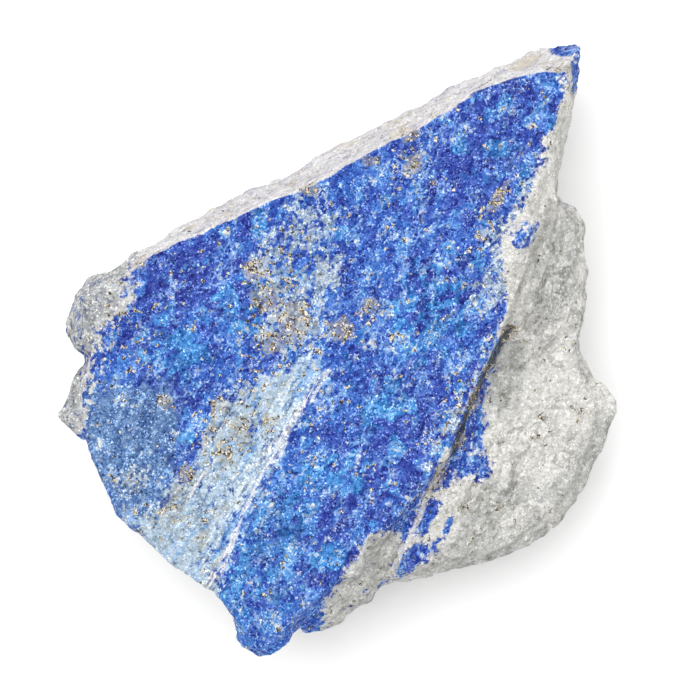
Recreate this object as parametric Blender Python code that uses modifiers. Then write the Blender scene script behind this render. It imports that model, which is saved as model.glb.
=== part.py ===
"""Raw lapis lazuli: one broken stone, a slab of blue rock grown into a body of grey calcite.

The stone lies on a flat fracture with its blue face up. X runs to the right and Y to the far side,
seen from above with the pointed tip at the far right. Lengths in the lists are millimetres.
"""

import math

import bmesh
import bpy
from mathutils import Matrix, Vector, noise

MM = 0.001

# The blue face: its height at the origin and how much it rises per millimetre along Y and X
BLUE_HEIGHT = 25.5
BLUE_RISE_Y = 0.07
BLUE_RISE_X = 0.01

# West of a crease the blue face dips to the left, which leaves a step along the pale vein
CREASE_TOP = (-4.3, 18.5)
CREASE_FOOT = (3.5, -27.0)
WEST_DIP = 0.041

# The grey calcite face lies lower and falls away to the right
CALCITE_HEIGHT = 21.4
CALCITE_FALL_X = 0.25
CALCITE_RISE_Y = 0.10
CALCITE_ANCHOR = (12.0, -15.0)

# How far the rim of the slab has fallen from the blue face where its outer edge begins
RIM_DROP = 2.2

# The stone is cut off flat at zero, so pieces that reach the table run on below it
BELOW_TABLE = -3.0
TABLE_SIDE = 120.0
TABLE_DEPTH = 20.0

# Roughness of the broken surface: the size of each kind of lump, and how high it stands on the
# calm blue face and on the wild sides, which begin this far below the face
SWELL = {"size": 13.0, "calm": 0.4, "wild": 0.9}
HACKLE = {"size": 6.0, "calm": 0.15, "wild": 0.8}
LAYERS = {"size": 1.8, "calm": 0.0, "wild": 0.5}
GRAIN = {"size": 2.4, "calm": 0.12, "wild": 0.26}
WILD_BELOW = 3.0
LAYER_SPREAD = 9.0
HACKLE_MEAN = 0.2

# Grain of the remeshed stone, and the triangles that it keeps
VOXEL = 0.6
KEPT_TRIANGLES = 9800


def blue_face(x, y):
    """Height of the blue fracture face."""
    return BLUE_HEIGHT + BLUE_RISE_Y * y + BLUE_RISE_X * x


def west_face(x, y):
    """Height of the part of the blue face west of the crease, which dips to the left."""
    run = Vector(CREASE_TOP) - Vector(CREASE_FOOT)
    offset = Vector((x, y)) - Vector(CREASE_FOOT)
    west_of_crease = (run.x * offset.y - run.y * offset.x) / run.length
    return blue_face(x, y) - WEST_DIP * west_of_crease


def calcite_face(x, y):
    """Height of the grey face to the right of the blue slab."""
    east = x - CALCITE_ANCHOR[0]
    north = y - CALCITE_ANCHOR[1]
    return CALCITE_HEIGHT - CALCITE_FALL_X * east + CALCITE_RISE_Y * north


def on(face, points, below=0.0):
    """Corners that lie on a face, or so far below it."""
    return [(x, y, face(x, y) - below) for x, y in points]


def at(level, points):
    """Corners that share one level."""
    return [(x, y, level) for x, y in points]


# The middle of the stone, which the chunks stand out from
MIDDLE = [
    *at(16.0, [(-27.5, 6.0), (-28.0, -8.0), (-18.0, -24.0), (-8.0, -31.5), (3.5, -29.0), (22.0, -22.5)]),
    *at(16.0, [(27.0, -14.0), (27.8, 12.0), (25.5, 30.0), (15.0, 30.0), (-4.0, 20.5), (-16.0, 14.5)]),
    *at(BELOW_TABLE, [(-24.0, 5.0), (-23.0, -10.0), (-14.5, -21.5)]),
    *at(BELOW_TABLE, [(-7.0, -26.5), (4.0, -25.5), (19.0, -19.5)]),
    *at(BELOW_TABLE, [(25.0, -13.0), (26.5, 10.0), (23.0, 29.0)]),
    *at(BELOW_TABLE, [(13.0, 29.5), (-4.0, 20.5), (-16.0, 13.5)]),
]

# Each chunk is a convex lump between fracture planes, given by its corners
CHUNKS = {
    # The pointed upper half of the slab, from the crease to the tip, with the long pale far side
    "north_slab": [
        *on(blue_face, [(-4.3, 18.6), (5.2, 24.0), (9.7, 26.2), (16.7, 30.5), (20.6, 32.3), (24.2, 33.0)]),
        *on(blue_face, [(27.8, 33.2), (26.2, 29.0), (23.6, 21.2), (21.2, 15.8), (19.5, 11.0), (19.8, 4.0)]),
        *on(blue_face, [(17.9, -1.9), (3.0, -2.6), (-0.7, -2.6)]),
        *on(blue_face, [(28.5, 29.3), (27.2, 25.4), (26.4, 20.6), (25.6, 17.0)], RIM_DROP),
        (30.0, 37.3, 18.0), (29.7, 36.6, 13.0), (27.1, 36.8, 14.0), (24.1, 36.5, 10.0),
        *at(7.0, [(20.5, 34.5), (15.8, 32.6), (12.0, 31.2), (8.9, 28.5)]),
        *at(7.0, [(5.8, 26.0), (-2.2, 22.1), (-6.8, 20.7)]),
        *at(3.0, [(20.1, 33.8), (12.0, 30.5), (-2.2, 21.8), (-6.8, 20.2)]),
        *at(21.5, [(30.0, 33.2), (29.3, 29.5), (27.5, 25.6), (26.8, 20.8)]),
        *at(14.0, [(29.4, 32.0), (28.4, 28.0), (27.0, 24.0), (26.4, 20.0)]),
        *at(BELOW_TABLE, [(22.0, 31.0), (12.0, 30.0), (-4.0, 21.0)]),
        *at(BELOW_TABLE, [(23.0, 14.0), (14.0, -4.0), (0.0, -2.0)]),
    ],
    # The lower half of the slab, between the pale vein and the ledge over the calcite
    "south_slab": [
        *on(blue_face, [(-14.2, -29.6), (-0.7, -2.6), (8.0, 6.0), (20.3, 4.0), (19.4, 1.0), (17.9, -1.9)]),
        *on(blue_face, [(16.3, -6.2), (13.9, -11.2), (8.4, -18.8), (5.2, -21.8), (1.9, -25.4)]),
        *on(blue_face, [(-1.5, -29.3), (-3.6, -31.6), (-8.0, -32.0)]),
        *at(19.0, [(18.6, -5.0), (15.0, -13.0), (12.0, -17.0), (9.6, -21.0)]),
        *at(BELOW_TABLE, [(16.0, 2.0), (14.0, -8.0), (4.0, -22.0)]),
        *at(BELOW_TABLE, [(-6.0, -26.0), (-10.0, -24.0), (2.0, 0.0)]),
    ],
    # The slab west of the crease, whose lower left edge stands sharp over the table
    "west_slab": [
        *on(west_face, [(-23.6, 10.3), (-19.4, 12.6), (-15.6, 14.1)]),
        *on(west_face, [(-11.3, 16.1), (-7.6, 17.7), (-4.3, 18.6)]),
        *on(west_face, [(3.5, -27.0), (-12.8, -31.5), (-15.7, -29.0), (-19.1, -26.9), (-20.8, -24.4)]),
        *on(west_face, [(-23.3, -22.0), (-26.4, -20.0), (-27.6, -16.7), (-29.2, -14.2), (-30.4, -11.4)]),
        *on(west_face, [(-30.4, -4.0), (-29.2, 4.0)]),
        *at(7.0, [(-6.8, 20.7), (-12.5, 17.2), (-16.4, 15.5), (-19.8, 14.7)]),
        *at(3.0, [(-6.8, 20.2), (-16.2, 14.9)]),
        (-23.8, 12.2, 9.0), (-26.1, 10.2, 13.0), (-22.9, 11.4, 4.0),
        *at(BELOW_TABLE, [(-8.0, 19.0), (-20.0, 12.0), (-25.0, 4.0), (-24.0, -10.0), (-19.0, -20.0)]),
        *at(BELOW_TABLE, [(-9.0, -25.0), (0.0, -20.0), (0.0, 10.0)]),
    ],
    # The upper of two rounded lobes on the left
    "north_lobe": [
        *on(west_face, [(-24.0, 9.2), (-22.0, 4.0), (-27.6, 6.9)], 0.5),
        *on(west_face, [(-29.8, 4.3), (-30.6, 1.2), (-26.0, -3.0)], 0.5),
        *at(20.0, [(-27.2, 8.4), (-29.4, 8.0), (-30.8, 6.8), (-31.9, 4.9), (-32.8, 2.2), (-31.7, -0.4)]),
        *at(13.0, [(-27.0, 8.6), (-29.4, 8.2), (-30.9, 7.0), (-31.9, 5.0), (-32.6, 2.0), (-31.4, -0.5)]),
        *at(4.0, [(-24.0, 8.0), (-28.0, 6.0), (-29.0, 1.0), (-25.0, -2.0)]),
    ],
    # The lower lobe, with a blunt corner at the far left
    "south_lobe": [
        *on(west_face, [(-26.0, 0.0), (-30.2, -3.0), (-31.0, -5.6)], 0.5),
        *on(west_face, [(-31.8, -8.0), (-28.8, -11.0), (-24.0, -8.0)], 0.5),
        *at(20.5, [(-31.2, -2.3), (-31.8, -4.8), (-33.5, -7.1)]),
        *at(20.5, [(-33.9, -8.3), (-32.6, -9.6), (-30.4, -11.5)]),
        *at(15.0, [(-31.0, -2.4), (-31.6, -4.9), (-33.4, -7.4), (-33.2, -8.8), (-30.0, -11.4)]),
        *at(5.0, [(-28.0, -2.0), (-30.0, -6.0), (-28.0, -10.0), (-22.0, -8.0)]),
    ],
    # The blunt toe at the near end
    "toe": [
        *on(blue_face, [(-14.2, -29.4), (-11.8, -32.6), (-10.0, -35.0)], 0.3),
        *on(blue_face, [(-6.4, -34.0), (-3.6, -31.4), (-6.0, -26.0)], 0.3),
        *at(20.5, [(-13.2, -31.8), (-12.3, -34.0), (-11.5, -36.1)]),
        *at(20.5, [(-9.2, -37.2), (-7.0, -36.6), (-5.2, -34.8)]),
        *at(15.0, [(-12.6, -32.4), (-11.2, -35.6), (-9.2, -36.6), (-6.6, -35.6)]),
        *at(6.0, [(-11.0, -31.0), (-9.6, -33.0), (-6.0, -31.0), (-8.0, -24.0), (-2.0, -24.0)]),
    ],
    # The grey strip that falls away below the ledge at the near right
    "south_strip": [
        *on(blue_face, [(-3.6, -31.8), (-1.7, -29.3), (1.7, -25.4), (5.0, -21.8), (0.0, -22.0)], 1.2),
        *at(18.0, [(-4.1, -34.7), (-0.3, -33.0), (1.4, -32.2), (4.6, -29.8), (5.9, -28.4), (7.4, -26.0)]),
        *at(14.0, [(-3.6, -33.6), (1.8, -32.2), (5.0, -29.8)]),
        *at(19.5, [(9.6, -21.0)]),
        *at(3.0, [(-4.0, -30.0), (0.0, -30.0), (4.0, -26.0), (2.0, -18.0)]),
    ],
    # The main body of calcite at the lower right
    "calcite_body": [
        *on(calcite_face, [(16.6, -5.0), (14.4, -11.0), (12.6, -14.0)]),
        *on(calcite_face, [(10.8, -17.2), (9.2, -20.8), (7.4, -25.0)]),
        *on(calcite_face, [(6.6, -27.4), (13.0, -25.8), (20.0, -23.2)]),
        *on(calcite_face, [(24.6, -21.4), (27.6, -17.4), (30.0, -10.0)]),
        *on(calcite_face, [(31.4, -6.6), (30.4, -3.4), (29.2, -1.0), (28.6, 0.6), (20.0, 3.0)]),
        *at(15.0, [(6.0, -29.0), (8.9, -28.5), (13.2, -27.4), (16.6, -25.5), (20.2, -24.1), (24.9, -23.8)]),
        *at(14.0, [(27.9, -21.1), (29.6, -16.4), (31.7, -12.6), (30.0, 0.6), (31.1, -1.7), (31.4, -3.2)]),
        *at(8.0, [(7.0, -27.8), (16.6, -24.6), (23.8, -22.4), (28.6, -16.4), (30.4, -11.0), (30.0, -3.0)]),
        *at(BELOW_TABLE, [(8.0, -23.0), (18.0, -20.0), (25.0, -14.0), (26.0, -3.0), (14.0, 2.0)]),
    ],
    # The thin spur at the right
    "spur": [
        *on(calcite_face, [(31.6, -6.4), (31.8, -8.4), (30.4, -11.4), (26.0, -8.0), (29.0, -3.6)], 0.3),
        *at(15.5, [(32.8, -4.6), (34.2, -5.6), (34.2, -7.0), (33.2, -8.6), (31.7, -12.6), (31.3, -3.1)]),
        *at(12.5, [(32.8, -5.0), (34.0, -6.2), (33.4, -9.0), (31.8, -12.8)]),
        *at(5.0, [(29.0, -4.0), (30.0, -8.0), (28.0, -12.0), (22.0, -8.0)]),
    ],
    # The white flank that runs from the rim of the slab down to the shoulder
    "rim_flank": [
        *on(blue_face, [(21.0, 15.2), (19.4, 11.0), (19.3, 7.4), (19.5, 3.6)], 0.3),
        *on(blue_face, [(26.2, 18.6), (25.2, 15.0)], RIM_DROP),
        *on(calcite_face, [(28.4, 14.6), (28.2, 9.4), (26.0, 4.4), (22.4, 1.6)], -1.2),
        *at(12.0, [(22.0, 14.0), (26.4, 16.0), (26.6, 8.0), (19.6, 2.0)]),
    ],
    # The grey shoulder at the upper right, below the flank
    "shoulder": [
        *on(calcite_face, [(26.4, 17.4), (28.8, 15.6), (29.6, 10.0), (29.2, 3.0), (28.4, 0.6)], -1.0),
        *on(calcite_face, [(20.0, -2.0), (20.6, 6.0)], -1.0),
        *at(18.0, [(27.3, 18.4), (29.7, 17.0), (30.7, 15.1), (30.7, 10.8)]),
        *at(18.0, [(30.5, 6.7), (30.3, 3.7), (29.7, 0.4)]),
        *at(13.0, [(27.0, 17.8), (30.4, 15.1), (30.4, 6.7), (29.6, 1.0)]),
        *at(BELOW_TABLE, [(22.0, 13.0), (26.5, 10.0), (26.5, 0.0), (16.0, -2.0), (16.0, 8.0)]),
    ],
}

# Flake scars on the broken sides and the base: a point on the surface, the way it faces, half the
# width and height of the scar, and its depth
SCARS = [
    ((-20.5, -18.5, 11.0), (-0.75, -0.6, -0.3), (8.0, 5.5), 1.2),
    ((-12.0, -26.5, 9.0), (-0.6, -0.75, -0.3), (5.0, 5.0), 1.1),
    ((-29.0, -1.0, 7.0), (-1.0, 0.0, -0.35), (7.0, 4.0), 1.2),
    ((2.0, -28.5, 8.0), (0.2, -0.95, -0.2), (5.0, 5.5), 1.2),
    ((15.0, -24.5, 5.0), (0.25, -0.95, -0.25), (7.0, 4.5), 1.2),
    ((28.0, -14.5, 5.0), (0.85, -0.45, -0.25), (6.0, 4.0), 1.1),
    ((28.6, 8.0, 8.0), (1.0, 0.0, -0.2), (6.0, 5.5), 1.1),
    ((26.0, 23.0, 8.0), (1.0, 0.1, -0.2), (6.0, 6.0), 1.3),
    ((-14.0, 16.6, 14.0), (-0.42, 0.9, 0.15), (6.0, 3.0), 0.8),
    ((13.0, 30.4, 14.0), (-0.45, 0.9, 0.15), (8.0, 2.6), 0.7),
    ((1.0, 23.6, 15.5), (-0.45, 0.9, 0.15), (5.0, 2.4), 0.6),
    ((29.4, 10.0, 20.5), (0.4, -0.2, 1.0), (0.7, 1.6), 0.9),
    ((-15.0, -13.0, 0.0), (-0.4, -0.2, -1.0), (8.0, 6.0), 1.4),
    ((20.0, -10.0, 0.0), (0.5, -0.3, -1.0), (7.0, 5.5), 1.3),
    ((8.0, 22.0, 0.0), (-0.2, 0.5, -1.0), (9.0, 4.5), 1.2),
]

# Pits where grains weathered out of the blue face: place, half width and depth
PITS = [
    ((-8.5, 5.8), 2.2, 0.6),
    ((-7.3, 0.6), 1.7, 0.5),
    ((-11.5, -9.6), 2.4, 0.6),
    ((-17.5, -15.2), 1.8, 0.5),
    ((18.2, 15.6), 1.9, 0.6),
    ((13.1, 20.8), 1.6, 0.5),
    ((-25.6, 2.2), 1.8, 0.6),
]

# The cutters for scars and pits are ellipsoids, this many times deeper than the scar that they leave
DISH = 5.0
DISH_SPREAD = math.sqrt(2.0 / DISH - 1.0 / DISH**2)


def clear_scene():
    for obj in list(bpy.data.objects):
        bpy.data.objects.remove(obj)


def collection(name, parent=None):
    made = bpy.data.collections.new(name)
    (parent or bpy.context.scene.collection).children.link(made)
    return made


def object_of(name, shape, home):
    """An object made of a finished shape."""
    mesh = bpy.data.meshes.new(name)
    shape.to_mesh(mesh)
    shape.free()
    obj = bpy.data.objects.new(name, mesh)
    home.objects.link(obj)
    return obj


def hull_of(name, corners, home):
    """A convex lump through its corners."""
    shape = bmesh.new()
    for corner in corners:
        shape.verts.new(Vector(corner) * MM)
    found = bmesh.ops.convex_hull(shape, input=shape.verts)
    inside = set(found["geom_interior"]) | set(found["geom_unused"])
    bmesh.ops.delete(shape, geom=[v for v in inside if isinstance(v, bmesh.types.BMVert)], context="VERTS")
    bmesh.ops.recalc_face_normals(shape, faces=shape.faces)
    return object_of(name, shape, home)


def scar_cutter(name, point, outward, halves, depth, home):
    """A smooth ellipsoid that scoops a shallow dish out of the surface at a point."""
    facing = Vector(outward).normalized()
    centre = Vector(point) + facing * (DISH - 1.0) * depth
    radii = Vector((halves[0] / DISH_SPREAD, halves[1] / DISH_SPREAD, DISH * depth))
    turn = facing.to_track_quat("Z", "Y").to_matrix().to_4x4()
    place = Matrix.Translation(centre * MM) @ turn @ Matrix.Diagonal((*(radii * MM), 1.0))
    shape = bmesh.new()
    bmesh.ops.create_icosphere(shape, subdivisions=3, radius=1.0, matrix=place)
    return object_of(name, shape, home)


def flake_cutters(home):
    """Every scar on the walls and every pit in the upper face."""
    for number, (point, outward, halves, depth) in enumerate(SCARS, start=1):
        scar_cutter(f"scar_{number}", point, outward, halves, depth, home)
    for number, ((x, y), half, depth) in enumerate(PITS, start=1):
        surface = min(blue_face(x, y), west_face(x, y))
        scar_cutter(f"pit_{number}", (x, y, surface), (0, 0, 1), (half, half), depth, home)


def add_boolean(obj, operation, others):
    """Joins or cuts with every object of a collection."""
    modifier = obj.modifiers.new(f"{operation.lower()}_{others.name}", "BOOLEAN")
    modifier.operation = operation
    modifier.operand_type = "COLLECTION"
    modifier.collection = others


def evaluated_mesh(obj):
    """The object's mesh with its modifiers applied."""
    graph = bpy.context.evaluated_depsgraph_get()
    return bpy.data.meshes.new_from_object(obj.evaluated_get(graph), depsgraph=graph)


def roughened(point, normal):
    """A point of the hewn stone moved along its normal: swells, hackly facets, layers and grain."""
    wild = min(1.0, max(blue_face(point.x, point.y) - point.z, 0.0) / WILD_BELOW)

    def height(kind):
        """Little on the blue face, and fully on the broken sides below it."""
        return kind["calm"] + (kind["wild"] - kind["calm"]) * wild

    swell = noise.noise(point / SWELL["size"]) * height(SWELL)
    near, next_near = noise.voronoi(point / HACKLE["size"])[0][:2]
    hackle = (next_near - near - HACKLE_MEAN) * height(HACKLE)
    spread = Vector((point.x / LAYER_SPREAD, point.y / LAYER_SPREAD, point.z / LAYERS["size"]))
    layers = noise.noise(spread) * height(LAYERS)
    grain = noise.fractal(point / GRAIN["size"], 1.0, 2.0, 2) * height(GRAIN)
    return point + normal * (swell + hackle + layers + grain)


def roughen(mesh):
    """Moves every vertex, each one worked out from the smooth block."""
    moved = [roughened(vertex.co / MM, vertex.normal) * MM for vertex in mesh.vertices]
    for vertex, place in zip(mesh.vertices, moved):
        vertex.co = place


def stone_material():
    material = bpy.data.materials.new("lapis_lazuli")
    material.use_nodes = True
    shader = material.node_tree.nodes["Principled BSDF"]
    shader.inputs["Base Color"].default_value = (0.09, 0.16, 0.52, 1.0)
    shader.inputs["Roughness"].default_value = 0.55
    shader.inputs["Metallic"].default_value = 0.0
    return material


def hewn_block(helpers):
    """The middle with its chunks joined on and the flakes struck off, remeshed to an even grain."""
    lumps = collection("lumps", helpers)
    flakes = collection("flakes", helpers)
    block = hull_of("middle", MIDDLE, helpers)
    for name, corners in CHUNKS.items():
        hull_of(name, corners, lumps)
    flake_cutters(flakes)
    add_boolean(block, "UNION", lumps)
    add_boolean(block, "DIFFERENCE", flakes)
    remesh = block.modifiers.new("even_grain", "REMESH")
    remesh.mode = "VOXEL"
    remesh.voxel_size = VOXEL * MM
    return block


def table_cutter(home):
    """The block below the table, which leaves the flat fracture that the stone rests on."""
    side, depth = TABLE_SIDE * MM, TABLE_DEPTH * MM
    size = Matrix.Diagonal((side, side, depth, 1.0))
    shape = bmesh.new()
    bmesh.ops.create_cube(shape, size=1.0, matrix=Matrix.Translation((0.0, 0.0, -depth / 2)) @ size)
    return object_of("table", shape, home)


def centre_on_origin(stone, table):
    """Moves the stone so that its box stands centred on the origin."""
    bpy.context.view_layer.update()
    corners = [Vector(corner) for corner in stone.bound_box]
    middle = sum(corners, Vector()) / len(corners)
    for obj in (stone, table):
        obj.location = (-middle.x, -middle.y, 0.0)


def main():
    clear_scene()
    home = collection("raw_lapis_lazuli")
    helpers = collection("cutters")
    below = collection("below", helpers)
    mesh = evaluated_mesh(hewn_block(helpers))
    roughen(mesh)
    mesh.materials.clear()
    mesh.materials.append(stone_material())
    mesh.calc_loop_triangles()
    stone = bpy.data.objects.new("lapis_lazuli", mesh)
    home.objects.link(stone)
    thin = stone.modifiers.new("fewer_faces", "DECIMATE")
    thin.ratio = KEPT_TRIANGLES / len(mesh.loop_triangles)
    table = table_cutter(below)
    add_boolean(stone, "DIFFERENCE", below)
    centre_on_origin(stone, table)
    for helper in helpers.all_objects:
        helper.hide_render = True
        helper.display_type = "WIRE"


main()
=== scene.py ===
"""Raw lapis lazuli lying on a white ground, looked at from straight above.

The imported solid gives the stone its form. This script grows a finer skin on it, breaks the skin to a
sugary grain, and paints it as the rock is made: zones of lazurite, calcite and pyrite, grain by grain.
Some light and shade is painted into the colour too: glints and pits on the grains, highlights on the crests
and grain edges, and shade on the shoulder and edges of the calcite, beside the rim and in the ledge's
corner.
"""

import math
from types import SimpleNamespace

import bpy
import numpy as np
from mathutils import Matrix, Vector


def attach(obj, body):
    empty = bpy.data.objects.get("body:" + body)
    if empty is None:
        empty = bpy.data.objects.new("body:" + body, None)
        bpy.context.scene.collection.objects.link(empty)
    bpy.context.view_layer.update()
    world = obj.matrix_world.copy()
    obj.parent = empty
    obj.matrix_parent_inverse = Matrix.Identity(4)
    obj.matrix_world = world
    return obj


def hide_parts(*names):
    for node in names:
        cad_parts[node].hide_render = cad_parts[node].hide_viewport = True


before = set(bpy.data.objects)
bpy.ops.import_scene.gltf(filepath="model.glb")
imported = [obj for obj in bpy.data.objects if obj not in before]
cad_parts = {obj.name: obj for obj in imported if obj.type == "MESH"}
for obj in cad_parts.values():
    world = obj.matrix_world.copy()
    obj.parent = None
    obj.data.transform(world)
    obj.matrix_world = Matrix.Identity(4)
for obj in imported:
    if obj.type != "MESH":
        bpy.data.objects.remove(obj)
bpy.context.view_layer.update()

MM = 0.001

# The zones are drawn in millimetres on a plan of the stone, whose box stands centred on this point
PLAN_CENTRE = (0.28, -0.24)

# The blue face: its height at the plan's origin, and how much it rises per millimetre along Y and X
FACE_HEIGHT = 25.5
FACE_RISE_Y = 0.07
FACE_RISE_X = 0.01

# Horizontal way that the pale far side faces, and the angle from X of the ridge above it
FAR_SIDE = (-0.46, 0.89)
RIDGE_ANGLE = 27.0

# The vein and the streaks beside it run at this angle from X
VEIN_ANGLE = 61.0

# The skin: size of its voxels, how often the facets of the solid are smoothed out of it, the distance
# at which corners of the solid are merged, and the number of steps in which a group is weighed
SKIN_VOXEL = 0.385
SMOOTHING = 3
MERGE_DISTANCE = 0.002
GROUP_STEPS = 24

# Layers of the broken sides, as long and as thick as this
LAYER_LENGTH = 8.0
LAYER_THICKNESS = 0.9

# Crystals of the rock, from broken shards down to sugary grains, and the spacing of the crackle
SHARD = 2.2
DOMAIN = 1.0
GRAIN = 0.42
SUGAR = 0.17
CRACKLE = 1.1

# How much a glint, a painted highlight, lightens and a pit, painted shade, darkens the colour, as a step of
# sRGB, the darkest that a pit gets, and the gamma between such steps and linear colour
GLINT = 0.28
PIT_SHADE = 0.2
DARKEST_PIT_SHADE = (0.06, 0.06, 0.07)
GAMMA = 2.2

# The camera: its height over the table, the level that is drawn to scale, the width of rock that
# fills the picture there, and the point of the plan that it looks down on
CAMERA_HEIGHT = 800.0
SHARP_LEVEL = 20.0
PICTURE_WIDTH = 84.0
LOOKS_AT = (1.68, -0.24)

# A wide soft window overhead and an even white sky. LIGHT is how bright a level white surface comes
# out in them
WINDOW_PLACE = (-220.0, 360.0, 1400.0)
WINDOW_SIZE = 1300.0
WINDOW_POWER = 20.0
SKY_STRENGTH = 0.78
LIGHT = 1.2

# The paper that the stone lies on
PAPER_SIZE = 4000.0
PAPER_WHITE = "#fbfbfb"
PAPER_ROUGHNESS = 0.9


def linear(hex_colour):
    """An sRGB colour as the linear RGBA that shaders take."""
    channels = [int(hex_colour[i : i + 2], 16) / 255.0 for i in (1, 3, 5)]
    return (*[c / 12.92 if c <= 0.04045 else ((c + 0.055) / 1.055) ** 2.4 for c in channels], 1.0)


def seen(hex_colour):
    """The colour that a level surface needs to be seen in this light as the given one."""
    return (*[channel / LIGHT for channel in linear(hex_colour)[:3]], 1.0)


# Form of the skin


def only(obj):
    """Selects one object alone and makes it the active one."""
    bpy.ops.object.select_all(action="DESELECT")
    obj.select_set(True)
    bpy.context.view_layer.objects.active = obj


def apply_modifiers(obj):
    only(obj)
    for modifier in list(obj.modifiers):
        bpy.ops.object.modifier_apply(modifier=modifier.name)


def smooth_step(low, high, value):
    """0 below low, 1 above high, smooth between, for arrays."""
    share = np.clip((value - low) / (high - low), 0.0, 1.0)
    return share * share * (3.0 - 2.0 * share)


def new_skin(solid):
    """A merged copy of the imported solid, remeshed to even small faces. The solid itself isn't touched."""
    skin = bpy.data.objects.new("stone", solid.data.copy())
    bpy.context.scene.collection.objects.link(skin)
    only(skin)
    bpy.ops.object.mode_set(mode="EDIT")
    bpy.ops.mesh.select_all(action="SELECT")
    bpy.ops.mesh.remove_doubles(threshold=MERGE_DISTANCE * MM)
    bpy.ops.object.mode_set(mode="OBJECT")
    remesh = skin.modifiers.new("fine_faces", "REMESH")
    remesh.mode = "VOXEL"
    remesh.voxel_size = SKIN_VOXEL * MM
    smooth = skin.modifiers.new("without_facets", "SMOOTH")
    smooth.factor = 0.5
    smooth.iterations = SMOOTHING
    apply_modifiers(skin)
    return skin


def survey(skin):
    """Where every vertex lies: plan position, height, depth below the blue face and normal."""
    mesh = skin.data
    place = np.empty(len(mesh.vertices) * 3, np.float32)
    facing = np.empty(len(mesh.vertices) * 3, np.float32)
    mesh.vertices.foreach_get("co", place)
    mesh.vertex_normals.foreach_get("vector", facing)
    place = place.reshape(-1, 3) / MM
    x = place[:, 0] + PLAN_CENTRE[0]
    y = place[:, 1] + PLAN_CENTRE[1]
    z = place[:, 2]
    depth = FACE_HEIGHT + FACE_RISE_Y * y + FACE_RISE_X * x - z
    return SimpleNamespace(x=x, y=y, z=z, depth=depth, facing=facing.reshape(-1, 3))


def weigh(skin, name, weights):
    """A vertex group with these weights, in small steps."""
    group = skin.vertex_groups.new(name=name)
    rounded = np.round(weights * GROUP_STEPS).astype(int)
    for rank in range(1, GROUP_STEPS + 1):
        chosen = np.nonzero(rounded == rank)[0].tolist()
        if chosen:
            group.add(chosen, rank / GROUP_STEPS, "REPLACE")


def displace(skin, name, kind, size, height, group, drawn_in=None, **settings):
    """Moves the skin along its normals by a texture. Its size and height are in millimetres, or its
    size is that of the object it is drawn in."""
    texture = bpy.data.textures.new(name, kind)
    texture.noise_scale = 1.0 if drawn_in else size * MM
    for key, value in settings.items():
        setattr(texture, key, value)
    modifier = skin.modifiers.new(name, "DISPLACE")
    modifier.texture = texture
    modifier.strength = height * MM
    modifier.mid_level = 0.5
    modifier.vertex_group = group
    modifier.texture_coords = "OBJECT" if drawn_in else "LOCAL"
    if drawn_in:
        modifier.texture_coords_object = drawn_in


def weigh_groups(skin):
    """Weights for the broken sides, for all but the base, and for rock that is more sugary than calcite."""
    at = survey(skin)
    calcite = np.empty(len(at.x), np.float32)
    skin.data.attributes["calcite"].data.foreach_get("value", calcite)
    off_base = smooth_step(0.2, 0.8, at.z)
    side = smooth_step(0.6, 2.5, at.depth)
    weigh(skin, "sides", off_base * side)
    weigh(skin, "all_over", off_base * (0.55 + 0.45 * side))
    weigh(skin, "sugary", off_base * (1.0 - 0.75 * np.clip(calcite, 0.0, 1.0)))


def break_skin(skin):
    """Layers and hackly edges on the broken sides, and a sugary grain all over but the base."""
    weigh_groups(skin)
    flat = bpy.data.objects.new("layer_frame", None)
    flat.scale = (LAYER_LENGTH * MM, LAYER_LENGTH * MM, LAYER_THICKNESS * MM)
    bpy.context.scene.collection.objects.link(flat)
    bpy.context.view_layer.update()
    displace(skin, "layers", "CLOUDS", 1.0, 0.9, "sides", drawn_in=flat, noise_depth=2)
    displace(skin, "hackle", "VORONOI", 2.6, 0.6, "sides", weight_1=-1.0, weight_2=1.0)
    displace(skin, "lumps", "CLOUDS", 1.6, 0.35, "all_over", noise_depth=2)
    displace(skin, "shards", "VORONOI", 1.8, 0.3, "all_over", weight_1=-1.0, weight_2=1.0)
    displace(skin, "grain", "VORONOI", 0.8, 0.16, "sugary", weight_1=1.0)
    apply_modifiers(skin)
    bpy.data.objects.remove(flat)
    only(skin)
    bpy.ops.object.shade_smooth()


# Zones of the rock, as shares from 0 to 1 at every vertex


def overlay(shares):
    """The highest of several shares."""
    return np.maximum.reduce(list(shares))


def ellipse(at, centre, radii, turn, soft):
    """1 inside a turned ellipse, 0 outside."""
    angle = math.radians(turn)
    east, north = at.x - centre[0], at.y - centre[1]
    along = (east * math.cos(angle) + north * math.sin(angle)) / radii[0]
    across = (north * math.cos(angle) - east * math.sin(angle)) / radii[1]
    return 1.0 - smooth_step(1.0 - soft, 1.0 + soft, np.hypot(along, across))


def patches(at, shapes, soft):
    """1 inside any of the ellipses, each given by its centre, radii and turn."""
    return overlay(ellipse(at, *shape, soft) for shape in shapes)


def line_distance(at, points):
    """Distance to a line through the points."""
    nearest = np.full(len(at.x), np.inf)
    for (x0, y0), (x1, y1) in zip(points[:-1], points[1:]):
        run_x, run_y = x1 - x0, y1 - y0
        share = ((at.x - x0) * run_x + (at.y - y0) * run_y) / (run_x**2 + run_y**2)
        share = np.clip(share, 0.0, 1.0)
        nearest = np.minimum(nearest, np.hypot(at.x - x0 - share * run_x, at.y - y0 - share * run_y))
    return nearest


def area(at, corners, soft, inset=0.0):
    """1 inside a closed outline, 0 outside, with a soft border, moved inwards by the inset."""
    inside = np.zeros(len(at.x), bool)
    closed = corners + corners[:1]
    for (x0, y0), (x1, y1) in zip(closed[:-1], closed[1:]):
        if y0 != y1:
            crosses = (y0 > at.y) != (y1 > at.y)
            inside ^= crosses & (at.x < x0 + (at.y - y0) * (x1 - x0) / (y1 - y0))
    distance = line_distance(at, closed)
    return smooth_step(-soft, soft, np.where(inside, distance, -distance) - inset)


def streak(at, points, half_width, soft):
    """1 along a line, 0 beyond its width."""
    return 1.0 - smooth_step(half_width - soft, half_width + soft, line_distance(at, points))


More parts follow.
